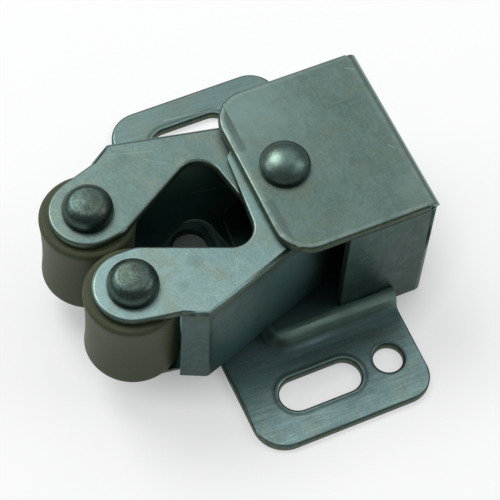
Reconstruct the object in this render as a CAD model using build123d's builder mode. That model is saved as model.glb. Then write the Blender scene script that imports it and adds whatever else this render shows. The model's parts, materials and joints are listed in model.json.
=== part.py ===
from build123d import *
import math
import os

os.makedirs("parts", exist_ok=True)

# Double roller catch. Millimetres, +Z up. The mounting plane is z = 0, the pivot axis
# stands at x = 0, y = 0 and the rollers face -Y.

# Sheets and layers
SHEET = 1.0
ARM_SHEET = 0.9
LAYER_GAP = 0.1
BACK_GAP = 0.2

# Reach of construction outlines that are cut back later, and the slack when edges are picked
FAR = 60.0
SLACK = 0.01

# Base plate
BASE_HALF = 24.0
BASE_FRONT = -12.0
BASE_BACK = 9.6
FRONT_CORNER = 3.7
BACK_CORNER = 3.4
BRIDGE_HALF = 12.95
BRIDGE_TOP = 3.2
BRIDGE_FRONT = -6.2
BRIDGE_CORNER = 2.6
BRIDGE_SLOPE = 14
BRIDGE_ROUND = 0.75
SCREW_X = 18.2
HOLE_Y = 5.8
HOLE_D = 3.45
SLOT_Y = -2.75
SLOT_LENGTH = 9.9
SLOT_WIDTH = 4.1
CROSS_SLOT_Y = -9.1
CROSS_SLOT_LENGTH = 12.6
CROSS_SLOT_WIDTH = 4.2

# Housing cover
COVER_HALF = 11.0
COVER_FRONT = -4.5
COVER_BACK = 13.9
COVER_TOP = 19.0
COVER_CORNER = 4.0
COVER_BEND = 1.1
BEND_INSET = 0.3
TAB_FRONT = 2.9
COVER_LOW = 0.15
LUG_Y = 6.5
LUG_LENGTH = 3.0

# Arms, drawn with the wall square to the direction WALL_ANGLE and the lower face at z = 0
SWING = 3.6
ARM_HEIGHT = 13.6
RIGHT_LOW = 4.3
LEFT_LOW = RIGHT_LOW - ARM_SHEET - LAYER_GAP
WALL_ANGLE = 15.6
WALL_OFFSET = 8.3
WALL_LEAN = 2.3
WALL_BEND = 0.5
WALL_TAIL = -8.55
LIP_OFFSET = 19.1
LIP_END = 10.5
LIP_CORNER = 0.9
LIP_CORNER_IN = 0.3
CHEEK_OFFSET = 18.29
EYE_RADIUS = 6.5
NOSE_RADIUS = 4.4
PIN_X = 5.55
PIN_Y = -21.4
TAIL_PLATE = 4.0
TAIL_ROUND = 1.2

# Corners of the strike pocket's side of an arm, with their radii
THROAT = (1.35, -18.9)
THROAT_ROUND = 2.5
POCKET = (7.375, -6.8)
POCKET_ROUND = 2.4
CROSSING = (-4.36, -4.82)
CROSSING_ROUND = 1.0

# Rollers, pins and pivot
ROLLER_RADIUS = 5.45
ROLLER_WAIST = 5.15
ROLLER_EDGE = 0.45
ROLLER_PLAY = 0.12
PIN_D = 3.0
BORE_D = 3.12
PIVOT_D = 4.0
EYE_D = 4.12
HEAD_RADIUS = 2.9
HEAD_HEIGHT = 2.15
HEAD_SKIRT = 0.35
CROWN_RADIUS = 1.6
CROWN_RISE = 0.15
LOW_HEAD_RADIUS = 2.7
LOW_HEAD_HEIGHT = 0.95
LOW_HEAD_RIM = 0.2
PIVOT_LOW_HEIGHT = 1.6

# Spring
SPRING_Y = 7.5
SPRING_Z = 10.6
SPRING_LENGTH = 8.8
SPRING_RADIUS = 2.3
SPRING_WIRE = 0.8
SPRING_COILS = 5
WIRE_SIDES = 6


def nearest(vertices, x, y):
    """Corner of a sketch that lies closest to a point."""
    return min(vertices, key=lambda corner: math.hypot(corner.X - x, corner.Y - y))


def tangent_point(point, centre, radius, turn):
    """Point where the line from an outside point touches a circle."""
    dx = point[0] - centre[0]
    dy = point[1] - centre[1]
    angle = math.atan2(dy, dx) + turn * math.acos(radius / math.hypot(dx, dy))
    return (centre[0] + radius * math.cos(angle), centre[1] + radius * math.sin(angle))


def on_arm(u, v):
    """Plan point from the distance to the pivot across the wall and the distance along it."""
    a = math.radians(WALL_ANGLE)
    return (u * math.cos(a) + v * math.sin(a), u * math.sin(a) - v * math.cos(a))


def on_lip(s, w):
    """Plan point from the distance to the pivot across the front lip and the distance along it."""
    return on_arm((s - w) * math.sqrt(0.5), (s + w) * math.sqrt(0.5))


def bridge_edges(found, level):
    """Edges that run round the bridge at one height, without those in the open back."""
    return [
        e for e in found
        if abs(e.center().Z - level) < SLACK and abs(e.center().X) < BRIDGE_HALF
        and BRIDGE_FRONT - SHEET < e.center().Y < BASE_BACK - SLACK
    ]


# Base plate: flat sheet with a raised bridge pressed up from it, open at the back edge
with BuildPart() as base_plate:
    with BuildSketch():
        with Locations((0, (BASE_FRONT + BASE_BACK) / 2)):
            Rectangle(2 * BASE_HALF, BASE_BACK - BASE_FRONT)
        fillet([v for v in vertices() if v.Y < 0], FRONT_CORNER)
        fillet([v for v in vertices() if v.Y > 0], BACK_CORNER)
    extrude(amount=SHEET)
    bridge_length = 2 * (BASE_BACK - BRIDGE_FRONT)
    with BuildSketch(Plane.XY):
        with Locations((0, BASE_BACK)):
            RectangleRounded(2 * BRIDGE_HALF, bridge_length, BRIDGE_CORNER)
    extrude(amount=BRIDGE_TOP, taper=BRIDGE_SLOPE)
    split(bisect_by=Plane.XZ.offset(-BASE_BACK), keep=Keep.TOP)
    for level in (BRIDGE_TOP, SHEET):
        fillet(bridge_edges(edges(), level), BRIDGE_ROUND)
    # Hollow under the bridge
    inner_half = BRIDGE_HALF - SHEET
    with BuildSketch(Plane.XY):
        with Locations((0, BASE_BACK)):
            RectangleRounded(2 * inner_half, bridge_length - 2 * SHEET, BRIDGE_CORNER - SHEET)
    extrude(amount=BRIDGE_TOP - SHEET, taper=BRIDGE_SLOPE, mode=Mode.SUBTRACT)
    # Screw holes and slots, and the cross slot in the front strip
    with BuildSketch(Plane.XY):
        with Locations((-SCREW_X, HOLE_Y), (SCREW_X, HOLE_Y)):
            Circle(HOLE_D / 2)
        with Locations((-SCREW_X, SLOT_Y), (SCREW_X, SLOT_Y)):
            SlotOverall(SLOT_LENGTH, SLOT_WIDTH, rotation=90)
        with Locations((0, CROSS_SLOT_Y)):
            SlotOverall(CROSS_SLOT_LENGTH, CROSS_SLOT_WIDTH)
        # Rivet hole and the two slots that take the lugs of the cover
        Circle(PIVOT_D / 2)
        with Locations((COVER_HALF - SHEET / 2, LUG_Y), (-COVER_HALF + SHEET / 2, LUG_Y)):
            Rectangle(SHEET, LUG_LENGTH)
    extrude(amount=BRIDGE_TOP, mode=Mode.SUBTRACT)

# Housing cover: top plate, folded down into the back wall
bend_low = COVER_TOP - COVER_BEND
bend_back = COVER_BACK - COVER_BEND
inner_bend = COVER_BEND - SHEET
with BuildPart() as housing_cover:
    with BuildSketch(Plane.XY.offset(COVER_TOP - SHEET)):
        with Locations((0, (COVER_FRONT + bend_back) / 2)):
            Rectangle(2 * COVER_HALF, bend_back - COVER_FRONT)
        fillet([v for v in vertices() if v.Y < 0], COVER_CORNER)
        Circle(PIVOT_D / 2, mode=Mode.SUBTRACT)
    extrude(amount=SHEET)
    bend_half = COVER_HALF - BEND_INSET
    with BuildSketch(Plane.YZ.offset(-bend_half)):
        with BuildLine():
            Line((bend_back, COVER_TOP - SHEET), (bend_back, COVER_TOP))
            RadiusArc((bend_back, COVER_TOP), (COVER_BACK, bend_low), COVER_BEND)
            Line((COVER_BACK, bend_low), (COVER_BACK - SHEET, bend_low))
            RadiusArc((COVER_BACK - SHEET, bend_low), (bend_back, COVER_TOP - SHEET), -inner_bend)
        make_face()
    extrude(amount=2 * bend_half)
    # Back wall with the two side tabs, stepped where they stand on the bridge
    for low, high, front in (
        (BRIDGE_TOP, bend_low, TAB_FRONT),
        (COVER_LOW, BRIDGE_TOP, BASE_BACK + BACK_GAP),
    ):
        with BuildSketch(Plane.XY.offset(low)):
            with BuildLine():
                Polyline(
                    (COVER_HALF, front), (COVER_HALF, COVER_BACK), (-COVER_HALF, COVER_BACK),
                    (-COVER_HALF, front), (-COVER_HALF + SHEET, front),
                    (-COVER_HALF + SHEET, COVER_BACK - SHEET), (COVER_HALF - SHEET, COVER_BACK - SHEET),
                    (COVER_HALF - SHEET, front), close=True
                )
            make_face()
            for s in (-1, 1):
                fillet(nearest(vertices(), s * COVER_HALF, COVER_BACK), COVER_BEND)
                fillet(nearest(vertices(), s * (COVER_HALF - SHEET), COVER_BACK - SHEET), inner_bend)
        extrude(amount=high - low)
    # Lugs under the tabs
    with BuildSketch(Plane.XY.offset(BRIDGE_TOP - SHEET)):
        with Locations(*[(s * (COVER_HALF - SHEET / 2), LUG_Y) for s in (-1, 1)]):
            Rectangle(SHEET, LUG_LENGTH)
    extrude(amount=SHEET)

# Shared form of both arms: a channel whose wall leans out a little towards its lower plate
# and turns round the front corner into a short lip
nose = (PIN_X, PIN_Y)
lean = math.tan(math.radians(WALL_LEAN))
plate_end = WALL_OFFSET - ARM_HEIGHT * lean - TAIL_PLATE
cheek = on_lip(CHEEK_OFFSET, LIP_END)
eye_back = on_arm(plate_end, -math.sqrt(EYE_RADIUS**2 - plate_end**2))
tail_inner = on_arm(plate_end, WALL_TAIL)
nose_out = tangent_point(cheek, nose, NOSE_RADIUS, -1)
nose_in = tangent_point(THROAT, nose, NOSE_RADIUS, 1)


def channel_side(inset):
    """Block outline with the wall and the lip as two of its sides; the others lie far outside."""
    wall = WALL_OFFSET - inset
    lip = LIP_OFFSET - inset
    return (
        on_arm(wall, lip * math.sqrt(2) - wall), on_arm(wall, -FAR), on_arm(-FAR, -FAR),
        on_arm(-FAR, FAR), on_lip(lip, FAR)
    )


def past_lip():
    """Region beyond the lip's free end, where the plates run on without a wall."""
    return (on_lip(0, LIP_END), on_lip(0, FAR), on_lip(FAR, FAR), on_lip(FAR, LIP_END))


def near_wall(point):
    """Whether a point lies close to the wall's or the lip's outer face."""
    a = math.radians(WALL_ANGLE)
    u = point.X * math.cos(a) + point.Y * math.sin(a)
    v = point.X * math.sin(a) - point.Y * math.cos(a)
    return abs(u - WALL_OFFSET) < ARM_SHEET or abs((u + v) * math.sqrt(0.5) - LIP_OFFSET) < ARM_SHEET


with BuildPart() as arm_form:
    # Outside of the channel
    outside = channel_side(0)
    with BuildSketch():
        with BuildLine():
            Polyline(*outside, close=True)
        make_face()
        fillet(nearest(vertices(), *outside[0]), LIP_CORNER)
    extrude(amount=ARM_HEIGHT, taper=WALL_LEAN)
    bent = [e for e in edges() if abs((e @ 0).Z - (e @ 1).Z) < SLACK and near_wall(e.center())]
    fillet(bent, WALL_BEND)
    with BuildSketch():
        with BuildLine():
            Polyline(*past_lip(), close=True)
        make_face()
    extrude(amount=ARM_HEIGHT)
    # Inside of the channel
    inside = channel_side(ARM_SHEET)
    with BuildSketch(Plane.XY.offset(ARM_SHEET)):
        with BuildLine():
            Polyline(*inside, close=True)
        make_face()
        fillet(nearest(vertices(), *inside[0]), LIP_CORNER_IN)
    extrude(amount=ARM_HEIGHT - 2 * ARM_SHEET, taper=WALL_LEAN, mode=Mode.SUBTRACT)
    with BuildSketch(Plane.XY.offset(ARM_SHEET)):
        with BuildLine():
            Polyline(*past_lip(), close=True)
        make_face()
    extrude(amount=ARM_HEIGHT - 2 * ARM_SHEET, mode=Mode.SUBTRACT)
    # Outline of both plates, with the eye for the pivot and the hole for the roller pin
    with BuildSketch():
        with BuildLine():
            past_wall = WALL_OFFSET + SHEET
            past_face = LIP_OFFSET + SHEET
            Polyline(
                tail_inner, on_arm(past_wall, WALL_TAIL), on_arm(past_wall, past_face),
                on_lip(past_face, LIP_END), cheek, nose_out
            )
            ThreePointArc(nose_out, (PIN_X, PIN_Y - NOSE_RADIUS), nose_in)
            Polyline(nose_in, THROAT, POCKET, CROSSING)
            ThreePointArc(CROSSING, (-EYE_RADIUS, 0), eye_back)
            Line(eye_back, tail_inner)
        make_face()
        for corner, radius in (
            (POCKET, POCKET_ROUND), (THROAT, THROAT_ROUND), (CROSSING, CROSSING_ROUND), (tail_inner, TAIL_ROUND)
        ):
            fillet(nearest(vertices(), *corner), radius)
        Circle(EYE_D / 2, mode=Mode.SUBTRACT)
        with Locations(nose):
            Circle(PIN_D / 2, mode=Mode.SUBTRACT)
    extrude(amount=ARM_HEIGHT, mode=Mode.INTERSECT)

# Right arm: upper layer
with BuildPart() as right_arm:
    with Locations(Location((0, 0, RIGHT_LOW), (0, 0, SWING))):
        add(arm_form.part)

# Left arm: the mirrored form, one sheet lower
mirrored_form = mirror(arm_form.part, about=Plane.YZ)
with BuildPart() as left_arm:
    with Locations(Location((0, 0, LEFT_LOW), (0, 0, SWING))):
        add(mirrored_form)


def swung(x, y):
    """Plan point after the rest swing of the two arms."""
    s = math.radians(SWING)
    return (x * math.cos(s) - y * math.sin(s), x * math.sin(s) + y * math.cos(s))


def roller(place, low, high):
    """Waisted roller with broken edges and a bore."""
    edge = ROLLER_RADIUS - ROLLER_EDGE
    with BuildPart() as body:
        with BuildSketch(Plane.XZ):
            with BuildLine():
                Polyline(
                    (ROLLER_RADIUS, low + ROLLER_EDGE), (edge, low), (BORE_D / 2, low),
                    (BORE_D / 2, high), (edge, high), (ROLLER_RADIUS, high - ROLLER_EDGE)
                )
                ThreePointArc(
                    (ROLLER_RADIUS, low + ROLLER_EDGE), (ROLLER_WAIST, (low + high) / 2),
                    (ROLLER_RADIUS, high - ROLLER_EDGE)
                )
            make_face()
        revolve(axis=Axis.Z)
    with BuildPart() as placed:
        with Locations((*place, 0)):
            add(body.part)
    return placed


def cap_middle(radius, height):
    """Distance from the axis and drop below the top, half way along a domed cap."""
    sphere = (radius**2 + height**2) / (2 * height)
    half = math.asin(radius / sphere) / 2
    return (sphere * math.sin(half), sphere * (1 - math.cos(half)))


def rivet(place, shaft_d, low, high, low_height):
    """Shaft with a tall head above, its crown hammered nearly flat, and a low domed head below."""
    skirt = high + HEAD_SKIRT
    crown = high + HEAD_HEIGHT - CROWN_RISE
    shoulder_x = CROWN_RADIUS + (HEAD_RADIUS - CROWN_RADIUS) * math.sqrt(0.5)
    shoulder_z = skirt + (crown - skirt) * math.sqrt(0.5)
    crown_x, crown_drop = cap_middle(CROWN_RADIUS, CROWN_RISE)
    low_x, low_drop = cap_middle(LOW_HEAD_RADIUS, low_height - LOW_HEAD_RIM)
    with BuildPart() as body:
        with BuildSketch(Plane.XZ):
            with BuildLine():
                Line((0, low - low_height), (0, high + HEAD_HEIGHT))
                ThreePointArc(
                    (0, high + HEAD_HEIGHT), (crown_x, high + HEAD_HEIGHT - crown_drop), (CROWN_RADIUS, crown)
                )
                ThreePointArc((CROWN_RADIUS, crown), (shoulder_x, shoulder_z), (HEAD_RADIUS, skirt))
                Polyline(
                    (HEAD_RADIUS, skirt), (HEAD_RADIUS, high), (shaft_d / 2, high),
                    (shaft_d / 2, low), (LOW_HEAD_RADIUS, low), (LOW_HEAD_RADIUS, low - LOW_HEAD_RIM)
                )
                ThreePointArc(
                    (LOW_HEAD_RADIUS, low - LOW_HEAD_RIM), (low_x, low - low_height + low_drop),
                    (0, low - low_height)
                )
            make_face()
        revolve(axis=Axis.Z)
    with BuildPart() as placed:
        with Locations((*place, 0)):
            add(body.part)
    return placed


# Rollers between the plates of their arms
right_place = swung(PIN_X, PIN_Y)
left_place = swung(-PIN_X, PIN_Y)
right_roller = roller(
    right_place, RIGHT_LOW + ARM_SHEET + ROLLER_PLAY, RIGHT_LOW + ARM_HEIGHT - ARM_SHEET - ROLLER_PLAY
)
left_roller = roller(
    left_place, LEFT_LOW + ARM_SHEET + ROLLER_PLAY, LEFT_LOW + ARM_HEIGHT - ARM_SHEET - ROLLER_PLAY
)

# Roller pins, riveted over the plates
right_roller_pin = rivet(right_place, PIN_D, RIGHT_LOW, RIGHT_LOW + ARM_HEIGHT, LOW_HEAD_HEIGHT)
left_roller_pin = rivet(left_place, PIN_D, LEFT_LOW, LEFT_LOW + ARM_HEIGHT, LOW_HEAD_HEIGHT)

# Pivot rivet through cover, arms and bridge
pivot_rivet = rivet((0, 0), PIVOT_D, BRIDGE_TOP - SHEET, COVER_TOP, PIVOT_LOW_HEIGHT)

# Spring between the two tails
with BuildPart() as spring:
    coil_length = SPRING_LENGTH - SPRING_WIRE
    with BuildLine() as coil:
        Helix(
            pitch=coil_length / SPRING_COILS, height=coil_length, radius=SPRING_RADIUS,
            center=(*swung(-coil_length / 2, SPRING_Y), SPRING_Z), direction=(*swung(1, 0), 0)
        )
    with BuildSketch(Plane(origin=coil.line @ 0, z_dir=coil.line % 0)):
        RegularPolygon(SPRING_WIRE / 2, WIRE_SIDES)
    sweep()

for name, piece in (
    ("base_plate", base_plate),
    ("housing_cover", housing_cover),
    ("right_arm", right_arm),
    ("left_arm", left_arm),
    ("right_roller", right_roller),
    ("left_roller", left_roller),
    ("right_roller_pin", right_roller_pin),
    ("left_roller_pin", left_roller_pin),
    ("pivot_rivet", pivot_rivet),
    ("spring", spring),
):
    piece.part.label = name
    export_step(piece.part, f"parts/{name}.step")
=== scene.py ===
import bmesh
import bpy
import json
import math
from mathutils import Matrix, Vector, noise


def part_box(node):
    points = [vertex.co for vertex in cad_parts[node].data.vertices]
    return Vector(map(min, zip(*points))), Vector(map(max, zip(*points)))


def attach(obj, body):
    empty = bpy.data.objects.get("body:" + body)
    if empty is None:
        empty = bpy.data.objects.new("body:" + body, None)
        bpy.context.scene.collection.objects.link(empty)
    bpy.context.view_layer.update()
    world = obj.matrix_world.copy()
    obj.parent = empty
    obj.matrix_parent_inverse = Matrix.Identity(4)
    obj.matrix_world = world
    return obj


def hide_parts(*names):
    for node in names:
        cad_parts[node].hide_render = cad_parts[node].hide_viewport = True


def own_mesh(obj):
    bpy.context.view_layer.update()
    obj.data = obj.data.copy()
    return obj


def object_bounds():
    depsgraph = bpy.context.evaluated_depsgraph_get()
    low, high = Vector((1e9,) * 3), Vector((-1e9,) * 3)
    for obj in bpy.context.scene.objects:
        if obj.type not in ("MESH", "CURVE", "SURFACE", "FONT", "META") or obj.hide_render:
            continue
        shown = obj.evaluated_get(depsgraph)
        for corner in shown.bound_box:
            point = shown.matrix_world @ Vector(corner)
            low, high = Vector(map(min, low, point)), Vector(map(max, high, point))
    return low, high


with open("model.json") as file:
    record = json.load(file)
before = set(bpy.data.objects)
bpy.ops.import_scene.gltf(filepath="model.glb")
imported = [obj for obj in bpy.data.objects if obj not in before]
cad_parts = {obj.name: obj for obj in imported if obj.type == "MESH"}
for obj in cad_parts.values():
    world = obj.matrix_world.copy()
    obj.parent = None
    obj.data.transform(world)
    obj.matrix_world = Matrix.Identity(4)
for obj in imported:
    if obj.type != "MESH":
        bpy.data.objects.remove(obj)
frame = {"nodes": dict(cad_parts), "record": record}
cad_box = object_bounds()
MM = 0.001

# Measures are in millimetres, or in metres where they are multiplied by MM or say so.
# Colours are linear red, green and blue.

# Camera, as the photograph shows the catch (lens and sensor as Blender counts them)
VIEW_AZIMUTH = math.radians(61.0)
VIEW_ELEVATION = math.radians(59.55)
VIEW_ROLL = math.radians(5.3)
VIEW_DISTANCE = 247.4 * MM
VIEW_TARGET = Vector((1.65, -4.28, 6.0)) * MM
VIEW_LENS = 155.8
SENSOR_WIDTH = 36

# Lamps: distance in metres, side of the square in metres, brightness where 1 is white
OVERHEAD_LAMP = (0.7, 0.7, 0.95)
KEY_LAMP = (0.8, 0.35, 8.0)
SIDE_LAMP = (0.9, 0.45, 2.2)
KEY_TOP = 0.8
KEY_RIGHT = -0.7
WORLD_COLOUR = (0.20, 0.21, 0.22)

# Turn of the two side lamps away from the camera, and their rise above it
SIDE_TURN = math.radians(50)
SIDE_RISE = math.radians(38)

# Floor: half its size in metres, its gap below the catch, and the share of plain white that it shows to
# the camera and in reflections, which fades out under the catch between two sizes of an ellipse
FLOOR_HALF = 1.5
FLOOR_GAP = 0.02
FLOOR_WHITE = 0.55
FLOOR_MIDDLE_Y = -2
FLOOR_FLATNESS = 0.69
FLOOR_COVERED = 9.0
FLOOR_OPEN = 18.5
PAPER = ((0.95, 0.95, 0.95), (0.97, 0.97, 0.97))

# Base plate: sheet, slots, screw holes, and the bridge's edge and the fold beside it, from the middle
SHEET = 1.0
SLOT_X = 18.2
SLOT_Y = -2.75
SLOT_REACH = 2.9
SLOT_RADIUS = 2.05
HOLE_Y = 5.8
HOLE_RADIUS = 1.725
BRIDGE_EDGE = (11.0, 11.7)
BRIDGE_FOLD = (13.4, 14.2)

# Cover: corner radius of the top plate, and the stretch along its rear fold where the rim gets wear and a
# painted highlight
COVER_CORNER = 4.0
WEAR_AND_SHEEN_BACK = (12.3, 12.9)

# Flats coined into the front rim of the cover, either side of the middle
FLAT_BACK = -3.0
FLAT_START = 3.3
FLAT_STEP = 0.2
FLAT_SLOPE = math.tan(math.radians(4))

# Arms: lean of their walls in plan, swing of the pair at rest, distance of the front lip from the pivot
WALL_ANGLE = math.radians(15.6)
ARM_SWING = math.radians(3.6)
LIP_FACE = 19.1
LIP_BEND = math.radians(45)

# Sheets: rounding of the rims on the die's side and of the others, the fade between the two down a fold,
# the angle above which a mesh edge is sharp, and what counts as flat, too short or the same place
DIE_ROLL = 0.34
BURR_SIDE = 0.10
ROLL_FADE = 0.75
RIM_SEGMENTS = 3
EDGE_ANGLE = math.radians(38)
FLAT_ANGLE = math.radians(0.8)
SHORTEST = 0.22 * MM
WELD = 0.002 * MM
TOP_SLACK = 0.01
PLATE_SLACK = 0.05

# Cut faces of a sheet: how wide they are, how long a strip is at least and how large at most (mm2), how
# much of its length has sharp rims on both sides, and how steep they and how level their rims are
CUT_WIDTH = (0.5, 1.02)
CUT_LENGTH = 5 * CUT_WIDTH[1]
CUT_AREA = 16
CUT_CORNERS = 6
BOTH_RIMS = 1.2
UPRIGHT_SLACK = 0.03
STEEP = 0.5
LEVEL_SLACK = 0.1

# Rivet heads: a low undercut at the foot, the dome, and the hammered crown on top
HEAD_RADIUS = 2.88
HEAD_HEIGHT = 2.15
UNDERCUT = 0.16
UNDERCUT_HEIGHT = 0.3
CROWN_RISE = 0.10
HAMMER_DEPTH = 0.04
HAMMER_SCALE = 0.7
LOW_HEAD_RADIUS = 2.68
LOW_HEAD_EDGE = 0.2
LOW_HEAD_BREAK = (0.05, 0.07)
CROWN_STEPS, DOME_STEPS, UNDERCUT_STEPS, LOW_HEAD_STEPS = 8, 16, 4, 12

# Rollers: rounded rims, waist, bore with its broken edge, and how far they stay inside the CAD's box
ROLLER_RIM = 0.55
ROLLER_WAIST = 0.22
BORE_RADIUS = 1.56
BORE_EDGE = 0.2
ROLLER_INSET = 0.01
MOULD_WAVE = 0.05
MOULD_SCALE = 0.22
RIM_STEPS, WAIST_STEPS = 10, 16

# Spring between the tails of the arms
SPRING_MIDDLE = Vector((-0.47, 7.49, 10.6))
SPRING_TILT = math.radians(3.6)
SPRING_LENGTH = 8.7
COIL_RADIUS = 2.28
WIRE_RADIUS = 0.38
SPRING_TURNS = 6.5
CLOSED_TURNS = 1.0
COIL_STEPS, WIRE_SIDES = 40, 12

ROUND_STEPS = 96

# Plating of each piece: a dark, a light and a warm tone
BASE_TONES = ((0.145, 0.228, 0.228), (0.215, 0.315, 0.305), (0.20, 0.235, 0.18))
COVER_TONES = ((0.083, 0.129, 0.116), (0.119, 0.174, 0.155), (0.110, 0.138, 0.104))
ARM_WARM = (0.160, 0.195, 0.150)
RIVET_TONES = ((0.100, 0.160, 0.140), (0.150, 0.230, 0.205), (0.165, 0.190, 0.135))
WIRE_TONES = ((0.17, 0.17, 0.165), (0.27, 0.27, 0.26), (0.25, 0.22, 0.16))

# Stains and marks of all the plating
SHEARED = (0.060, 0.080, 0.050)
SCRATCH = (0.34, 0.42, 0.38)
BLOTCH_LIGHT = (0.120, 0.185, 0.178)
BLOTCH_DARK = (0.022, 0.046, 0.046)

# Stains, painted shade and painted light of the base plate, its spots (middle, radius, softness, colour,
# amount) and its scratches
FAR_FLANGE = (0.085, 0.130, 0.125)
BESIDE_BRIDGE_PAINTED_SHADE = (0.100, 0.170, 0.180)
BRIDGE_TOP_PAINTED_SHADE = (0.060, 0.105, 0.112)
BRIDGE_BAND_PAINTED_LIGHT = (0.270, 0.395, 0.325)
RIM_PAINTED_SHADOW = (0.045, 0.070, 0.062)
BASE_SPOTS = (
    ((11.8, -4.8, 1.5), 0.8, 0.6, (0.13, 0.075, 0.055), 0.55),
    ((-12.0, 3.0, 1.5), 0.6, 0.6, (0.13, 0.08, 0.06), 0.45),
    # Painted highlight at the rear end of the bridge's sloping band
    ((13.6, 9.2, 2.0), 0.5, 0.6, SCRATCH, 0.7),
    # Painted reflection: a bluish patch on the front strip near the cross slot
    ((2.0, -10.0, 1.0), 4.0, 0.5, (0.03, 0.075, 0.115), 0.7),
)
BASE_MARKS = (((20.8, -7.5), (22.2, -1.0)), ((-21.5, -5.0), (-20.4, 3.0)))

# Tints of the cover: a lighter patch on its left, painted shade on the coined flats and the tabs, wear and
# painted highlight on the rims, painted highlight on the rear fold, and its scratches
LIGHTER_LEFT_PATCH = (0.165, 0.240, 0.230)
COINED_FLAT_PAINTED_SHADE = (0.056, 0.079, 0.073)
SCORED = (0.05, 0.075, 0.065)
RIM_WEAR_AND_SHEEN = (0.185, 0.250, 0.225)
LIGHTER_REAR_CORNER = (0.170, 0.230, 0.205)
TAB_PAINTED_SHADE = (0.036, 0.094, 0.080)
TAB_REAR_PAINTED_SHADE = (0.026, 0.050, 0.040)
FOLD_PAINTED_HIGHLIGHT = (0.290, 0.400, 0.360)
COVER_SCORE = ((-5.1, 7.9), (-5.0, 11.4))
COVER_MARKS = (((-9.2, 11.9), (-8.7, 12.6)), ((2.0, 11.8), (2.6, 12.2)))

# Tints of the arms: painted shade on the walls and the lip, painted light where walls and plates lie in
# shade, and smudges
WALL_PAINTED_SHADE = (0.056, 0.126, 0.124)
WALL_PAINTED_LIGHT_UNDER_COVER = (0.140, 0.230, 0.235)
WALL_HEAD = (0.080, 0.098, 0.060)
WALL_FOOT = (0.055, 0.120, 0.130)
INSIDE_PAINTED_LIGHT = (0.44, 0.60, 0.50)
UNDERSIDE_PAINTED_LIGHT = (0.20, 0.29, 0.25)
LIP_PAINTED_SHADE = (0.030, 0.055, 0.050)
LIP_BLOTCH = (0.090, 0.138, 0.128)
SMUDGE = (0.07, 0.11, 0.10)

# Arms: side, seed, tones, scratches (start and end) and smudges (middle and radius) on the upper plate
ARMS = {
    "right_arm": {
        "side": 1, "seed": 11.0, "tones": ((0.137, 0.214, 0.207), (0.186, 0.275, 0.264), ARM_WARM),
        "marks": (((5.4, -13.2), (9.3, -11.9)), ((5.0, -14.0), (8.4, -12.4)), ((10.2, -15.5), (11.6, -13.0)),
                  ((8.2, -9.5), (10.5, -10.4)), ((2.0, -17.5), (4.4, -15.4))),
        "smudges": (((6.4, -13.5), 0.8), ((9.0, -16.0), 0.5)),
    },
    "left_arm": {
        "side": -1, "seed": 31.0, "tones": ((0.094, 0.143, 0.133), (0.132, 0.192, 0.178), ARM_WARM),
        "marks": (((-10.0, -17.0), (-8.6, -12.2)), ((-8.0, -13.5), (-6.2, -11.0))),
        "smudges": (((-9.0, -15.5), 0.7),),
    },
}

# Rivets: radius of the shaft and of the crown, height of the low head, gloss, tone, pits and seeds
RIVETS = {
    "pivot_rivet": {
        "shaft": 1.98, "crown": 0.0, "low_head": 1.6,
        "rough": 0.35, "tone": 0.88, "pitted": 0.25, "grain_seed": 17.0, "hammer_seed": 4.0,
    },
    "right_roller_pin": {
        "shaft": 1.49, "crown": 1.45, "low_head": 0.95,
        "rough": 0.36, "tone": 0.51, "pitted": 1.0, "grain_seed": 23.0, "hammer_seed": 11.0,
    },
    "left_roller_pin": {
        "shaft": 1.49, "crown": 1.45, "low_head": 0.95,
        "rough": 0.36, "tone": 0.51, "pitted": 1.0, "grain_seed": 29.0, "hammer_seed": 18.0,
    },
}

# Nylon: dark and light tone, darkened far below the nylon's own cream as painted shade, dirt in the pores,
# grain
NYLON_PAINTED_SHADE_TONES = ((0.052, 0.065, 0.033), (0.072, 0.088, 0.046))
NYLON_DIRT = (0.030, 0.037, 0.022)
NYLON_GRAIN = (0.036, 0.046, 0.025)

cover_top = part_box("housing_cover")[1][2] / MM
cover_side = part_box("housing_cover")[1][0] / MM
cover_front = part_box("housing_cover")[0][1] / MM
arm_tops = {node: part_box(node)[1][2] / MM for node in ("right_arm", "left_arm")}
arm_feet = {node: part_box(node)[0][2] / MM for node in ("right_arm", "left_arm")}
body_of = {node: body for body, nodes in frame["record"]["behaviour"]["bodies"].items() for node in nodes}


def add_camera():
    """Camera on the view axis, rolled a little about it. Returns the ways to its back, right and top."""
    back = Vector((
        math.sin(VIEW_AZIMUTH) * math.cos(VIEW_ELEVATION),
        -math.cos(VIEW_AZIMUTH) * math.cos(VIEW_ELEVATION),
        math.sin(VIEW_ELEVATION),
    ))
    side = Vector((0, 0, 1)).cross(back).normalized()
    up = back.cross(side)
    right = math.cos(VIEW_ROLL) * side + math.sin(VIEW_ROLL) * up
    top = math.cos(VIEW_ROLL) * up - math.sin(VIEW_ROLL) * side
    place = VIEW_TARGET + VIEW_DISTANCE * back
    data = bpy.data.cameras.new("camera")
    data.lens = VIEW_LENS
    data.sensor_width = SENSOR_WIDTH
    data.clip_start = 0.01
    data.clip_end = 20
    camera = bpy.data.objects.new("camera", data)
    camera.matrix_world = Matrix((
        (right.x, top.x, back.x, place.x),
        (right.y, top.y, back.y, place.y),
        (right.z, top.z, back.z, place.z),
        (0, 0, 0, 1),
    ))
    bpy.context.scene.collection.objects.link(camera)
    bpy.context.scene.camera = camera
    return back, right, top


def add_lamp(name, direction, distance, size, brightness):
    """Square soft lamp that faces the catch from a direction."""
    data = bpy.data.lights.new(name, "AREA")
    data.shape = "SQUARE"
    data.size = size
    data.energy = brightness * math.pi * size * size
    lamp = bpy.data.objects.new(name, data)
    lamp.location = direction.normalized() * distance
    lamp.rotation_euler = direction.to_track_quat("Z", "Y").to_euler()
    bpy.context.scene.collection.objects.link(lamp)


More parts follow.
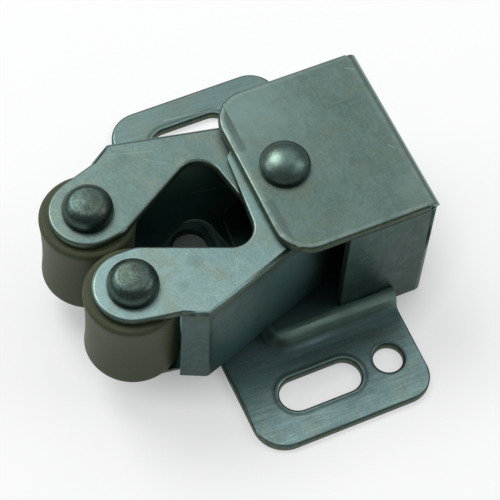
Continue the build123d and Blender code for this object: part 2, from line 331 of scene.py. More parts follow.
def set_world(colour):
    world = bpy.data.worlds.new("studio")
    bpy.context.scene.world = world
    world.use_nodes = True
    background = world.node_tree.nodes["Background"]
    background.inputs["Color"].default_value = (*colour, 1)
    background.inputs["Strength"].default_value = 1.0


class Nodes:
    """Short way to write a material's node tree. Places are the object's own, in millimetres."""

    def __init__(self, name):
        self.material = bpy.data.materials.new(name)
        self.material.use_nodes = True
        self.tree = self.material.node_tree
        self.tree.nodes.clear()
        own = self.add("ShaderNodeTexCoord").outputs
        self.place = self.vector("SCALE", own["Object"], Scale=1 / MM)
        self.normal = own["Normal"]

    def add(self, kind, inputs=None, **settings):
        node = self.tree.nodes.new(kind)
        for key, value in settings.items():
            setattr(node, key, value)
        for key, value in (inputs or {}).items():
            if isinstance(value, bpy.types.NodeSocket):
                self.tree.links.new(value, node.inputs[key])
            else:
                node.inputs[key].default_value = value
        return node

    def vector(self, operation, a, b=None, **named):
        inputs = {0: a, **named}
        if b is not None:
            inputs[1] = b
        node = self.add("ShaderNodeVectorMath", inputs, operation=operation)
        single = operation in ("DOT_PRODUCT", "LENGTH", "DISTANCE")
        return node.outputs["Value" if single else "Vector"]

    def math(self, operation, a, b=0.0, clamp=False):
        return self.add("ShaderNodeMath", {0: a, 1: b}, operation=operation, use_clamp=clamp).outputs[0]

    def plus(self, a, b):
        return self.math("ADD", a, b)

    def times(self, *factors):
        product = factors[0]
        for factor in factors[1:]:
            product = self.math("MULTIPLY", product, factor)
        return product

    def range(self, value, low, high, to_low=0.0, to_high=1.0):
        return self.add("ShaderNodeMapRange", {
            "Value": value, "From Min": low, "From Max": high, "To Min": to_low, "To Max": to_high,
        }).outputs["Result"]

    def spread(self, value, to_low, to_high):
        """Maps the part of its range that a noise uses onto another range."""
        return self.range(value, 0.3, 0.7, to_low, to_high)

    def noise(self, scale, detail=4.0, roughness=0.55, distortion=0.0, seed=0.0,
              stretch=(1, 1, 1), turn=0.0):
        """Noise with about scale features per millimetre, drawn out along one way where stretch says so."""
        turned = self.add("ShaderNodeMapping", {
            "Vector": self.place, "Location": (seed, 0.7 * seed, 1.3 * seed),
            "Rotation": (0, 0, turn), "Scale": tuple(1 / s for s in stretch),
        }, vector_type="TEXTURE").outputs[0]
        return self.add("ShaderNodeTexNoise", {
            "Vector": turned, "Scale": scale, "Detail": detail, "Roughness": roughness,
            "Distortion": distortion,
        }).outputs["Fac"]

    def mix(self, factor, a, b, mode="MIX"):
        node = self.add("ShaderNodeMix", data_type="RGBA", blend_type=mode)
        for key, value in ((0, factor), (6, a), (7, b)):
            if isinstance(value, bpy.types.NodeSocket):
                self.tree.links.new(value, node.inputs[key])
            else:
                node.inputs[key].default_value = (*value, 1) if isinstance(value, tuple) else value
        return node.outputs[2]

    def spot(self, middle, radius, soft=0.6):
        """Round mark about a point, with a ragged soft edge."""
        ragged = self.spread(self.noise(0.9, 3, seed=middle[0]), -0.4 * radius, 0.4 * radius)
        away = self.plus(self.vector("DISTANCE", self.place, middle), ragged)
        return self.range(away, radius * (1 + soft), radius * (1 - soft))

    def away_from(self, start, end):
        """Distance from the straight stretch between two points."""
        way = Vector(end) - Vector(start)
        from_start = self.vector("SUBTRACT", self.place, tuple(start))
        share = self.vector("DOT_PRODUCT", from_start, tuple(way / way.length_squared))
        share = self.math("ADD", share, 0.0, clamp=True)
        foot = self.vector("SCALE", tuple(way), Scale=share)
        return self.vector("DISTANCE", from_start, foot)

    def stroke(self, start, end, width):
        """Thin scratch from one point to another."""
        return self.range(self.away_from(start, end), width, 0.4 * width)

    def facing(self, way, least, full):
        """Share of the surface that faces a direction, from the least to the full cosine."""
        return self.range(self.vector("DOT_PRODUCT", self.normal, way), least, full)

    def part(self, axis):
        """One coordinate of the place."""
        return self.add("ShaderNodeSeparateXYZ", {0: self.place}).outputs[axis]

    def output(self, shader):
        self.add("ShaderNodeOutputMaterial", {"Surface": shader})
        return self.material


class Zinc(Nodes):
    """Blue-passivated zinc: cloudy tint, rolling lines, grain, fine scratches and bare sheared edges."""

    def __init__(self, name, tones, seed, lines_turn=0.0, rough=0.36, brushed=0.045):
        super().__init__(name)
        self.seed = seed
        dark, light, warm = tones
        cloud = self.noise(0.13, 5, 0.6, 0.6, seed)
        fine_cloud = self.noise(0.9, 5, 0.65, 0.3, seed + 3)
        tone = self.plus(self.times(cloud, 0.6), self.times(fine_cloud, 0.4))
        self.colour = self.mix(self.range(tone, 0.34, 0.66), dark, light)
        warmth = self.range(self.noise(0.21, 4, 0.55, 0.9, seed + 8), 0.50, 0.72, 0.0, 0.75)
        self.colour = self.mix(warmth, self.colour, warm)
        lines = self.noise(1.0, 3, 0.6, 0.0, seed, (0.10, 7.0, 1.5), lines_turn)
        self.shade(self.spread(lines, 1 - brushed, 1 + brushed))
        grain = self.noise(3.4, 4, 0.7, 0.0, seed)
        self.shade(self.spread(grain, 0.85, 1.15))
        self.rough = self.range(tone, 0.34, 0.66, rough + 0.06, rough - 0.03)
        self.height = self.plus(self.times(lines, 5 * brushed), self.times(grain, 0.25))
        for number, turn in enumerate((lines_turn + 0.5, lines_turn - 1.0)):
            thread = self.noise(1.0, 2, 0.5, 0.0, seed + 20 * number, (0.07, 5.0, 1.0), turn)
            patches = self.range(self.noise(0.25, 3, 0.5, 0.5, seed + 5 * number), 0.52, 0.68)
            where = self.times(patches, self.facing((0, 0, 1), 0.5, 0.8))
            self.scratch(self.times(self.range(thread, 0.70, 0.76), where), 0.22)

    def streaks(self):
        """Brushed streaks, a few tenths of a millimetre wide."""
        wide = self.noise(1.0, 4, 0.65, 0.2, self.seed + 40, (3.2, 0.22, 1.0))
        self.shade(self.range(wide, 0.32, 0.68, 0.78, 1.16))

    def shade(self, tone):
        """Multiplies the colour by a grey tone."""
        grey = self.add("ShaderNodeCombineColor", {0: tone, 1: tone, 2: tone}).outputs[0]
        self.colour = self.mix(1.0, self.colour, grey, "MULTIPLY")

    def tint(self, mask, colour, amount):
        self.colour = self.mix(self.math("MULTIPLY", mask, amount, clamp=True), self.colour, colour)

    def mottle(self, mask):
        """Uneven plating of the upright walls."""
        blotch = self.noise(0.75, 5, 0.7, 0.5, self.seed + 60)
        self.tint(self.times(mask, self.range(blotch, 0.50, 0.68)), BLOTCH_LIGHT, 0.35)
        self.tint(self.times(mask, self.range(blotch, 0.48, 0.30)), BLOTCH_DARK, 0.5)

    def scratch(self, mask, amount):
        self.tint(mask, SCRATCH, amount)
        self.height = self.math("SUBTRACT", self.height, self.times(mask, 0.3 * amount))

    def finish(self, bump=0.18):
        """Darkens and roughens the cut faces, and makes the shader."""
        cut = self.add("ShaderNodeAttribute", attribute_name="sheared").outputs["Fac"]
        tear = self.noise(1.0, 3, 0.6, 0.2, self.seed, (2.5, 2.5, 0.8))
        torn = self.mix(self.range(tear, 0.35, 0.65), SHEARED, tuple(1.5 * c for c in SHEARED))
        self.colour = self.mix(self.times(cut, 0.85), self.colour, torn)
        rough = self.plus(self.rough, self.times(cut, 0.14))
        height = self.plus(self.height, self.times(tear, cut, 1.2))
        normal = self.add("ShaderNodeBump", {
            "Height": height, "Strength": bump, "Distance": 0.05 * MM,
        }).outputs[0]
        shader = self.add("ShaderNodeBsdfPrincipled", {
            "Base Color": self.colour, "Metallic": 1.0, "Roughness": rough, "Normal": normal,
        })
        return self.output(shader.outputs[0])


def zinc_base():
    """Base plate: brushed along the slots, painted shadow lines round slots and holes, a painted light band
    on the fold, painted shade beside and on the bridge.
    """
    z = Zinc("zinc_base", BASE_TONES, 3.0, math.radians(90), 0.33, 0.085)
    z.streaks()
    z.tint(z.range(z.part("X"), -9, -16), FAR_FLANGE, 0.62)
    # Painted shade on the flange beside the bridge, where the housing shades it
    from_bridge = z.vector("LENGTH", z.vector("MULTIPLY", z.place, (1, 0.5, 0)))
    z.tint(z.range(from_bridge, 20, 13), BESIDE_BRIDGE_PAINTED_SHADE, 0.55)
    outside = z.math("ABSOLUTE", z.part("X"))
    raised = z.range(z.part("Z"), SHEET + 0.1, SHEET + 0.6)
    edge_in, edge_out = BRIDGE_EDGE
    # Painted shade on the bridge's top inside the housing
    z.tint(z.times(raised, z.range(outside, edge_out, edge_in)), BRIDGE_TOP_PAINTED_SHADE, 0.75)
    # Painted light on the bridge's sloping band, which lies in shade
    patchy = z.spread(z.noise(0.35, seed=12), 0.5, 1.0)
    z.tint(z.times(raised, z.range(outside, edge_in, edge_out), patchy), BRIDGE_BAND_PAINTED_LIGHT, 0.9)
    fold_in, fold_out = BRIDGE_FOLD
    z.rough = z.plus(z.rough, z.times(z.range(outside, fold_out, fold_in), 0.27))
    for side in (-1, 1):
        x = side * SLOT_X
        rim = z.away_from((x, SLOT_Y - SLOT_REACH, SHEET), (x, SLOT_Y + SLOT_REACH, SHEET))
        # Painted shadow lines round each slot and hole
        within = z.range(rim, SLOT_RADIUS + 0.95, SLOT_RADIUS + 0.65)
        beyond = z.range(rim, SLOT_RADIUS + 0.35, SLOT_RADIUS + 0.5)
        z.tint(z.times(within, beyond), RIM_PAINTED_SHADOW, 0.7)
        hole = z.vector("DISTANCE", z.place, (x, HOLE_Y, SHEET))
        z.tint(z.range(hole, HOLE_RADIUS + 0.55, HOLE_RADIUS + 0.3), RIM_PAINTED_SHADOW, 0.65)
    for middle, radius, soft, colour, amount in BASE_SPOTS:
        z.tint(z.spot(middle, radius, soft), colour, amount)
    for start, end in BASE_MARKS:
        z.scratch(z.stroke((*start, SHEET), (*end, SHEET), 0.08), 0.3)
    return z.finish()


def zinc_cover():
    """Cover: lighter on its left, painted shade in the coined flats and on the tabs, wear and painted
    highlight along the rims, painted highlight on the rear fold.
    """
    z = Zinc("zinc_cover", COVER_TONES, 7.0, 0.0, 0.38)
    x, y, level = (z.part(axis) for axis in "XYZ")
    outside = z.math("ABSOLUTE", x)
    above = z.range(level, cover_top - 0.5, cover_top - 0.35)
    # Lighter patch on the left of the top plate
    z.tint(z.spot((-8.5, -1.0, cover_top), 4.5, 0.9), LIGHTER_LEFT_PATCH, 0.6)
    # Painted shade in the coined flats
    before = z.range(y, FLAT_BACK + 0.03, FLAT_BACK - 0.03)
    beside = z.range(outside, FLAT_START, FLAT_START + FLAT_STEP)
    z.tint(z.times(before, beside, above), COINED_FLAT_PAINTED_SHADE, 0.85)
    start, end = COVER_SCORE
    z.tint(z.stroke((*start, cover_top), (*end, cover_top), 0.16), SCORED, 0.32)

    # Lighter rim along the outline and the rear fold: partly wear, partly painted highlight
    past_side = z.math("MAXIMUM", z.math("SUBTRACT", outside, cover_side - COVER_CORNER), 0.0)
    past_front = z.math("MAXIMUM", z.math("SUBTRACT", cover_front + COVER_CORNER, y), 0.0)
    outline = z.vector("LENGTH", z.add("ShaderNodeCombineXYZ", {0: past_side, 1: past_front}).outputs[0])
    near_outline = z.range(outline, COVER_CORNER - 0.8, COVER_CORNER - 0.55)
    rim = z.math("MAXIMUM", near_outline, z.range(y, *WEAR_AND_SHEEN_BACK))
    rim_patches = z.range(z.noise(0.8, 4, 0.6, 0.4, 14.0), 0.35, 0.65, 0.25, 1.0)
    z.tint(z.times(rim, rim_patches, above), RIM_WEAR_AND_SHEEN, 0.6)
    # Lighter patch near the rear corner of the top plate
    z.tint(z.times(z.spot((7.9, 11.6, cover_top), 1.3, 0.8), above), LIGHTER_REAR_CORNER, 0.45)

    wall = z.range(level, cover_top - SHEET, cover_top - SHEET - 0.3)
    # Painted shade: the tabs are darkened, more towards their rear
    z.tint(wall, TAB_PAINTED_SHADE, 0.76)
    z.tint(z.times(wall, z.range(y, 3.0, 11.0)), TAB_REAR_PAINTED_SHADE, 0.68)
    z.mottle(wall)
    # Painted highlight on the rear fold
    fold = z.times(z.facing((0, 1, 0), 0.12, 0.5), z.range(level, cover_top - 1.7, cover_top - 1.2))
    z.tint(fold, FOLD_PAINTED_HIGHLIGHT, 0.8)
    for start, end in COVER_MARKS:
        z.scratch(z.stroke((*start, cover_top), (*end, cover_top), 0.12), 0.26)
    return z.finish()


def outward(side, bend=0.0):
    """Direction that the wall of the right (1) or the left (-1) arm faces, or a lip bent forward from it."""
    turn = side * (WALL_ANGLE - bend) + ARM_SWING
    return (side * math.cos(turn), side * math.sin(turn), 0)


def zinc_arm(node, side, seed, tones, marks, smudges):
    """Arm: light plates, a mottled wall in painted shade with a warm band under the fold and a bluish foot,
    painted light under the cover, inside and under the plates, a lip in painted shade.
    """
    z = Zinc("zinc_" + node, tones, seed, 0.27)
    top = arm_tops[node]
    level = z.part("Z")
    uneven_level = z.plus(level, z.spread(z.noise(0.5, 3, seed=seed), -0.35, 0.35))
    below = z.range(level, top - 0.12, top - 0.3)
    # Painted shade: the walls below the top plate are darkened
    z.tint(below, WALL_PAINTED_SHADE, 0.72)
    z.mottle(below)
    # Painted light on the rear of the wall, which lies in the cover's shade
    z.tint(z.times(below, z.range(z.part("Y"), -7.5, -3.0)), WALL_PAINTED_LIGHT_UNDER_COVER, 0.5)
    z.tint(z.times(z.range(uneven_level, top - 2.1, top - 1.1), below), WALL_HEAD, 0.75)
    z.tint(z.range(uneven_level, top - 8.0, top - 12.0), WALL_FOOT, 0.5)
    # Painted light on the faces turned inwards and on the plates' undersides, which lie in shade
    z.tint(z.facing(outward(side), -0.3, -0.7), INSIDE_PAINTED_LIGHT, 0.88)
    z.tint(z.facing((0, 0, -1), 0.5, 0.8), UNDERSIDE_PAINTED_LIGHT, 0.6)
    from_pivot = z.vector("DOT_PRODUCT", z.place, outward(side, LIP_BEND))
    lip = z.times(z.range(from_pivot, LIP_FACE - 0.9, LIP_FACE - 0.3), below)
    # Painted shade on the front lip
    z.tint(lip, LIP_PAINTED_SHADE, 0.80)
    blotch = z.noise(1.6, 5, 0.7, 0.4, seed + 30)
    z.tint(z.times(lip, z.range(blotch, 0.42, 0.68)), LIP_BLOTCH, 0.45)
    for start, end in marks:
        z.scratch(z.stroke((*start, top), (*end, top), 0.06), 0.25)
    for middle, radius in smudges:
        z.tint(z.spot((*middle, top), radius), SMUDGE, 0.35)
    return z.finish()


def zinc_rivet(name, seed, rough, tone, pitted):
    """Rivet heads: a little warmer than the sheets, pitted where a hammer worked."""
    z = Zinc(name, [tuple(tone * c for c in colour) for colour in RIVET_TONES], seed, 0.4, rough)
    pits = z.noise(3.4, 4, 0.65, 0.3, seed)
    z.shade(z.range(pits, 0.35, 0.65, 1 - 0.18 * pitted, 1 + 0.16 * pitted))
    z.height = z.plus(z.height, z.times(pits, 1.2 * pitted))
    return z.finish(0.3)


def nylon(name, seed):
    """Natural nylon, slightly translucent, a little dirty where it rolls."""
    n = Nodes(name)
    cloud = n.noise(0.16, 4, 0.6, 0.3, seed)
    speck = n.noise(3.2, 3, 0.6, 0.0, seed)
    grain = n.noise(3.6, 4, 0.75, 0.0, seed + 4)
    # Painted shade: the nylon tones are far darker than the nylon's own cream
    colour = n.mix(n.range(cloud, 0.32, 0.68), *NYLON_PAINTED_SHADE_TONES)
    colour = n.mix(n.range(speck, 0.60, 0.78, 0.0, 0.5), colour, NYLON_DIRT)
    colour = n.mix(n.range(grain, 0.46, 0.70, 0.0, 0.45), colour, NYLON_GRAIN)
    turning = n.noise(1.0, 2, 0.5, 0.0, seed, (0.05, 0.05, 6.0))
    height = n.plus(n.times(speck, 0.35), n.times(turning, 0.5))
    bump = n.add("ShaderNodeBump", {"Height": height, "Strength": 0.15, "Distance": 0.05 * MM})
    shader = n.add("ShaderNodeBsdfPrincipled", {
        "Base Color": colour, "Roughness": n.spread(cloud, 0.45, 0.58), "Normal": bump.outputs[0],
        "Specular IOR Level": 0.18, "Subsurface Weight": 0.3,
        "Subsurface Radius": (1.0, 0.95, 0.7), "Subsurface Scale": 1.0 * MM,
    })
    return n.output(shader.outputs[0])


def white_floor():
    """Pale paper, which shows partly as plain white to the camera and in reflections."""
    n = Nodes("floor")
    colour = n.mix(n.noise(0.02, 2), *PAPER)
    lit = n.add("ShaderNodeBsdfDiffuse", {"Color": colour}).outputs[0]
    white = n.add("ShaderNodeEmission", {"Color": (1, 1, 1, 1), "Strength": 1.0}).outputs[0]
    ray = n.add("ShaderNodeLightPath").outputs
    through = n.math("MAXIMUM", ray["Is Glossy Ray"], ray["Is Transmission Ray"])
    seen = n.math("MAXIMUM", ray["Is Camera Ray"], through)
    centred = n.vector("ADD", n.place, (0, -FLOOR_MIDDLE_Y, 0))
    from_middle = n.vector("LENGTH", n.vector("MULTIPLY", centred, (1, FLOOR_FLATNESS, 0)))
    open_floor = n.range(from_middle, FLOOR_COVERED, FLOOR_OPEN, 0.0, FLOOR_WHITE)
    return n.output(n.add("ShaderNodeMixShader", {0: n.times(seen, open_floor), 1: lit, 2: white}).outputs[0])


def add_object(name, mesh, material):
    piece = bpy.data.objects.new(name, mesh)
    mesh.materials.clear()
    mesh.materials.append(material)
    bpy.context.scene.collection.objects.link(piece)
    return piece


def add_floor():
    size = FLOOR_HALF
    mesh = bpy.data.meshes.new("floor")
    z = cad_box[0][2] - FLOOR_GAP * MM
    corners = [(-size, -size, z), (size, -size, z), (size, size, z), (-size, size, z)]
    mesh.from_pydata(corners, [], [(0, 1, 2, 3)])
    add_object("floor", mesh, white_floor())


def applied(piece):
    """Turns a piece's modifiers into plain mesh."""
    graph = bpy.context.evaluated_depsgraph_get()
    mesh = bpy.data.meshes.new_from_object(piece.evaluated_get(graph))
    piece.modifiers.clear()
    piece.data = mesh


def is_sharp(edge):
    return len(edge.link_faces) == 2 and edge.calc_face_angle(0) > EDGE_ANGLE


def is_cut(face):
    """Whether a face is as narrow as the sheet is thick: a sheared rim or the side of a hole."""
    if len(face.verts) > CUT_CORNERS:
        return False
    least, most = (width * MM for width in CUT_WIDTH)
    spans = sorted(e.calc_length() for e in face.edges)
    tall = max(v.co.z for v in face.verts) - min(v.co.z for v in face.verts)
    rims = [e for e in face.edges if is_sharp(e)]
    level_rims = [e for e in rims if abs(e.verts[0].co.z - e.verts[1].co.z) < LEVEL_SLACK * MM]
    if abs(face.normal.z) < UPRIGHT_SLACK and least < tall < most and len(level_rims) > 1:
        return True
    strip = spans[-1] > CUT_LENGTH * MM and spans[1] < most
    both_rims = sum(e.calc_length() for e in rims) > BOTH_RIMS * spans[-1]
    return strip and both_rims and abs(face.normal.z) < STEEP and face.calc_area() < CUT_AREA * MM * MM


def cut_faces(bm, faces, mark, point, normal):
    """Cuts faces along a plane and returns what they have become, with the help of a mark on them."""
    for face in bm.faces:
        face[mark] = int(face in faces)
    geometry = list({*faces, *(e for f in faces for e in f.edges), *(v for f in faces for v in f.verts)})
    bmesh.ops.bisect_plane(bm, geom=geometry, plane_co=Vector(point) * MM, plane_no=normal, dist=WELD)
    return [face for face in bm.faces if face[mark]]


def coin_front(bm):
    """Presses the two sloping flats into the front rim of the cover's top plate."""
    mark = bm.faces.layers.int["cut_mark"]
    back = FLAT_BACK * MM
    plate_level = (cover_top - PLATE_SLACK) * MM
    top_level = (cover_top - TOP_SLACK) * MM
    plate = [f for f in bm.faces if f.normal.z > 0.99 and f.calc_center_median().z > plate_level]
    strip = cut_faces(bm, plate, mark, (0, FLAT_BACK, 0), (0, 1, 0))
    strip = [f for f in strip if f.calc_center_median().y < back]
    for x in (-FLAT_START - FLAT_STEP, -FLAT_START, FLAT_START, FLAT_START + FLAT_STEP):
        strip = cut_faces(bm, strip, mark, (x, 0, 0), (1, 0, 0))
    sunk = [v for v in bm.verts if v.co.z > top_level and v.co.y < back - WELD
            and abs(v.co.x) > (FLAT_START + FLAT_STEP / 2) * MM]
    for vert in sunk:
        vert.co.z -= (back - vert.co.y) * FLAT_SLOPE
    bm.normal_update()
    for edge in bm.edges:
        if all(abs(v.co.y - back) < WELD and v.co.z > top_level for v in edge.verts):
            edge.smooth = abs(edge.verts[0].co.x + edge.verts[1].co.x) < 2 * FLAT_START * MM


def rolled_base(middle):
    """The upper rim of the flat sheet and of its slots, but not of the slots that the lugs fill."""
    return float(abs(middle.z - SHEET) < LEVEL_SLACK)


def rolled_cover(middle):
    """The upper rim of the top plate, less and less down the rear fold."""
    return min(1.0, max(0.0, (middle.z - cover_top + SHEET) / ROLL_FADE))


def rolled_arm(node):
    """The outer rims of both plates."""
    high, low = arm_tops[node] - PLATE_SLACK, arm_feet[node] + PLATE_SLACK
    return lambda middle: float(middle.z > high or middle.z < low)


def refined_sheet(node, material, rolled, shape=None):
    """Copy of a folded sheet's CAD mesh with rounded rims; rolled says how much the die rounded each."""
    bm = bmesh.new()
    bm.from_mesh(frame["nodes"][node].data)
    bmesh.ops.remove_doubles(bm, verts=bm.verts, dist=WELD)
    bmesh.ops.dissolve_limit(bm, angle_limit=FLAT_ANGLE, verts=bm.verts, edges=bm.edges)
    bm.normal_update()
    sheared = bm.faces.layers.float.new("sheared")
    weight = bm.edges.layers.float.new("bevel_weight_edge")
    bm.faces.layers.int.new("cut_mark")
    for face in bm.faces:
        face[sheared] = float(is_cut(face))
    for edge in bm.edges:
        edge.smooth = True
    if shape:
        shape(bm)
    for edge in bm.edges:
        if is_sharp(edge) and edge.calc_length() > SHORTEST:
            middle = (edge.verts[0].co + edge.verts[1].co) / 2 / MM
            edge[weight] = max(BURR_SIDE / DIE_ROLL, rolled(middle))
    for face in bm.faces:
        face.smooth = True
    mesh = bpy.data.meshes.new(node + "_sheet")
    bm.to_mesh(mesh)
    bm.free()
    if "custom_normal" in mesh.attributes:
        mesh.attributes.remove(mesh.attributes["custom_normal"])
    piece = add_object(node + "_sheet", mesh, material)
    bevel = piece.modifiers.new("edges", "BEVEL")
    bevel.width = DIE_ROLL * MM
    bevel.limit_method = "WEIGHT"
    bevel.segments = RIM_SEGMENTS
    bevel.use_clamp_overlap = False
    bevel.loop_slide = False
    normals = piece.modifiers.new("normals", "WEIGHTED_NORMAL")
    normals.weight = 80
    normals.keep_sharp = True
    applied(piece)
    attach(piece, body_of[node])
    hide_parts(node)


def arc(middle, radius, start, end, steps):
    """Points of a profile's arc, from one angle to another in degrees; 0 points outwards and 90 up."""
    angles = [math.radians(start + (end - start) * i / steps) for i in range(steps + 1)]
    return [(middle[0] + radius * math.cos(a), middle[1] + radius * math.sin(a)) for a in angles]


def turned_mesh(name, profile, middle, uneven, closed=False):
    """Turned body from (radius, height) points about a middle; uneven moves each point a little."""
    bm = bmesh.new()
    rings = []
    for radius, height in profile:
        steps = 1 if radius < 1e-6 else ROUND_STEPS
        ring = []
        for i in range(steps):
            a = 2 * math.pi * i / steps
            point = Vector((radius * math.cos(a), radius * math.sin(a), height))
            point += uneven(point)
            ring.append(bm.verts.new((point + Vector((*middle, 0))) * MM))
        rings.append(ring)
    pairs = list(zip(rings, rings[1:]))
    if closed:
        pairs.append((rings[-1], rings[0]))
    for a, b in pairs:
        for i in range(ROUND_STEPS):
            j = (i + 1) % ROUND_STEPS
            corners = [a[i % len(a)], b[i % len(b)], b[j % len(b)], a[j % len(a)]]
            distinct = list(dict.fromkeys(corners))
            if len(distinct) > 2:
                bm.faces.new(distinct)
    bmesh.ops.recalc_face_normals(bm, faces=bm.faces)
    for face in bm.faces:
        face.smooth = True
    for edge in bm.edges:
        edge.smooth = edge.calc_face_angle(0) < EDGE_ANGLE
    mesh = bpy.data.meshes.new(name)
    bm.to_mesh(mesh)
    bm.free()
    return mesh


def middle_of(node):
    """Plan middle of a node's box, with its lowest and highest level."""
    low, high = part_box(node)
    return ((low[0] + high[0]) / 2 / MM, (low[1] + high[1]) / 2 / MM), low[2] / MM, high[2] / MM


def add_rivet(node, shaft_radius, crown_radius, low_head_height, material, seed):
    """Rivet: domed head with a hammered crown above, shaft, and the low factory head."""
    middle, low, high = middle_of(node)
    foot = high - HEAD_HEIGHT
    under = low + low_head_height
    crown = high - HAMMER_DEPTH - CROWN_RISE
    waist = foot + UNDERCUT_HEIGHT

    profile = [(0, crown + (CROWN_RISE if crown_radius else 0))]
    if crown_radius:
        for i in range(1, CROWN_STEPS + 1):
            share = i / CROWN_STEPS
            profile.append((crown_radius * share, crown + CROWN_RISE * (1 - share ** 2)))
    dome_radius = HEAD_RADIUS - crown_radius
    for i in range(1, DOME_STEPS + 1):
        a = math.radians(90 - 90 * i / DOME_STEPS)
        profile.append((crown_radius + dome_radius * math.cos(a), waist + (crown - waist) * math.sin(a)))
    for i in range(1, UNDERCUT_STEPS + 1):
        a = math.radians(90 * i / UNDERCUT_STEPS)
        profile.append((HEAD_RADIUS - UNDERCUT * (1 - math.cos(a)), waist - UNDERCUT_HEIGHT * math.sin(a)))
    profile += [(shaft_radius, foot), (shaft_radius, under)]
    break_in, break_down = LOW_HEAD_BREAK
    profile += [(LOW_HEAD_RADIUS - break_in, under), (LOW_HEAD_RADIUS, under - break_down)]
    drop = under - LOW_HEAD_EDGE - low
    for i in range(LOW_HEAD_STEPS + 1):
        a = math.radians(90 * i / LOW_HEAD_STEPS)
        profile.append((LOW_HEAD_RADIUS * math.cos(a), low + drop * (1 - math.sin(a))))
    profile[-1] = (0, low)

    def uneven(point):
        """Hammer marks, deepest on the crown and none on the shaft."""
        share = min(1.0, max(0.0, (point.z - waist) / (crown - waist)))
        spot = point * HAMMER_SCALE + Vector((seed, seed, 0))
        lump = noise.noise(spot) + 0.25 * noise.noise(spot * 3.1)
        inward = Vector((point.x, point.y, 0)).normalized() if point.xy.length > 0.3 else Vector()
        return HAMMER_DEPTH * share * (lump * Vector((0, 0, 1)) - abs(lump) * inward)

    piece = add_object(node + "_rivet", turned_mesh(node + "_rivet", profile, middle, uneven), material)
    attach(piece, body_of[node])
    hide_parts(node)


def add_roller(node, material, seed):
    """Waisted nylon roller with rounded rims and a bore."""
    middle, low, high = middle_of(node)
    box_low, box_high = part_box(node)
    radius = (box_high[0] - box_low[0]) / 2 / MM - ROLLER_INSET
    top, foot = high - ROLLER_INSET, low + ROLLER_INSET
    rim_middle = radius - ROLLER_RIM
    profile = [(BORE_RADIUS, high - BORE_EDGE), (BORE_RADIUS + BORE_EDGE, top)]
    profile += arc((rim_middle, top - ROLLER_RIM), ROLLER_RIM, 90, 0, RIM_STEPS)
    rim_low, rim_high = low + ROLLER_RIM, high - ROLLER_RIM
    half = (rim_high - rim_low) / 2
    for i in range(1, WAIST_STEPS):
        height = rim_high - 2 * half * i / WAIST_STEPS
        share = (height - (rim_high + rim_low) / 2) / half
        profile.append((radius - ROLLER_WAIST * (1 - share * share), height))
    profile += arc((rim_middle, foot + ROLLER_RIM), ROLLER_RIM, 0, -90, RIM_STEPS)
    profile += [(BORE_RADIUS + BORE_EDGE, foot), (BORE_RADIUS, low + BORE_EDGE)]

    def uneven(point):
        """Slight moulding waves, always inwards."""
        if point.xy.length < BORE_RADIUS + 1:
            return Vector()
        wave = noise.noise(point * MOULD_SCALE + Vector((seed, 0, 0)))
        return -MOULD_WAVE * (0.5 + 0.5 * wave) * Vector((point.x, point.y, 0)).normalized()

    mesh = turned_mesh(node + "_nylon", profile, middle, uneven, True)
    piece = add_object(node + "_nylon", mesh, material)
    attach(piece, body_of[node])
    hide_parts(node)


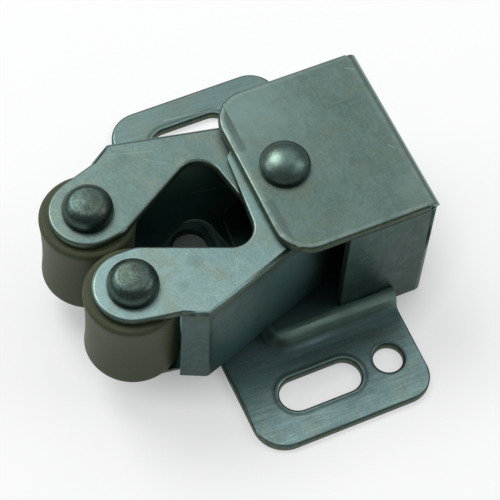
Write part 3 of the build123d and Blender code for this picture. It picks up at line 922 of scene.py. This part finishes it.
def add_spring(material):
    """Compression spring of round wire with closed ends; it shortens as the arms are spread."""
    along = Vector((math.cos(SPRING_TILT), math.sin(SPRING_TILT), 0))
    side = Vector((-along.y, along.x, 0))
    reach = SPRING_LENGTH / 2 - WIRE_RADIUS
    open_turns = SPRING_TURNS - 2 * CLOSED_TURNS
    closed_rise = CLOSED_TURNS * 2 * WIRE_RADIUS

    def travel(turns):
        """Way along the spring's axis after some turns, from its middle."""
        if turns < CLOSED_TURNS:
            return -reach + 2 * WIRE_RADIUS * turns
        if turns > SPRING_TURNS - CLOSED_TURNS:
            return reach - 2 * WIRE_RADIUS * (SPRING_TURNS - turns)
        share = (turns - CLOSED_TURNS) / open_turns
        return -reach + closed_rise + share * 2 * (reach - closed_rise)

    bm = bmesh.new()
    rings = []
    for i in range(int(SPRING_TURNS * COIL_STEPS) + 1):
        turns = i / COIL_STEPS
        a = 2 * math.pi * turns
        outward_way = math.cos(a) * side + math.sin(a) * Vector((0, 0, 1))
        middle = SPRING_MIDDLE + travel(turns) * along + COIL_RADIUS * outward_way
        ring = []
        for k in range(WIRE_SIDES):
            b = 2 * math.pi * k / WIRE_SIDES
            around = math.cos(b) * outward_way + math.sin(b) * along
            ring.append(bm.verts.new((middle + WIRE_RADIUS * around) * MM))
        rings.append(ring)
    for a, b in zip(rings, rings[1:]):
        for k in range(WIRE_SIDES):
            after = (k + 1) % WIRE_SIDES
            bm.faces.new((a[k], a[after], b[after], b[k]))
    bm.faces.new(rings[0])
    bm.faces.new(rings[-1])
    bmesh.ops.recalc_face_normals(bm, faces=bm.faces)
    for face in bm.faces:
        face.smooth = len(face.verts) == 4
    mesh = bpy.data.meshes.new("spring_coil")
    bm.to_mesh(mesh)
    bm.free()
    piece = add_object("spring_coil", mesh, material)
    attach(piece, body_of["spring"])
    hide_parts("spring")
    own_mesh(piece)


# Studio
back, right, top = add_camera()
bpy.context.scene.view_settings.view_transform = "Standard"
set_world(WORLD_COLOUR)
add_lamp("overhead", Vector((-back.x, -back.y, back.z)), *OVERHEAD_LAMP)
add_lamp("key", Vector((0, 0, 1)) + KEY_TOP * top + KEY_RIGHT * right, *KEY_LAMP)
raised = math.cos(SIDE_RISE) * back + math.sin(SIDE_RISE) * top
for name, side in (("left_box", -1), ("right_box", 1)):
    add_lamp(name, math.cos(SIDE_TURN) * raised + side * math.sin(SIDE_TURN) * right, *SIDE_LAMP)
add_floor()

# Catch
refined_sheet("base_plate", zinc_base(), rolled_base)
refined_sheet("housing_cover", zinc_cover(), rolled_cover, coin_front)
for node, arm in ARMS.items():
    refined_sheet(node, zinc_arm(node, **arm), rolled_arm(node))
for node, rivet in RIVETS.items():
    material = zinc_rivet("zinc_" + node, rivet["grain_seed"], rivet["rough"], rivet["tone"], rivet["pitted"])
    add_rivet(node, rivet["shaft"], rivet["crown"], rivet["low_head"], material, rivet["hammer_seed"])
add_roller("right_roller", nylon("nylon_right", 5.0), 2.0)
add_roller("left_roller", nylon("nylon_left", 9.0), 8.0)
add_spring(Zinc("drawn_wire", WIRE_TONES, 23.0, 0.0, 0.30).finish())
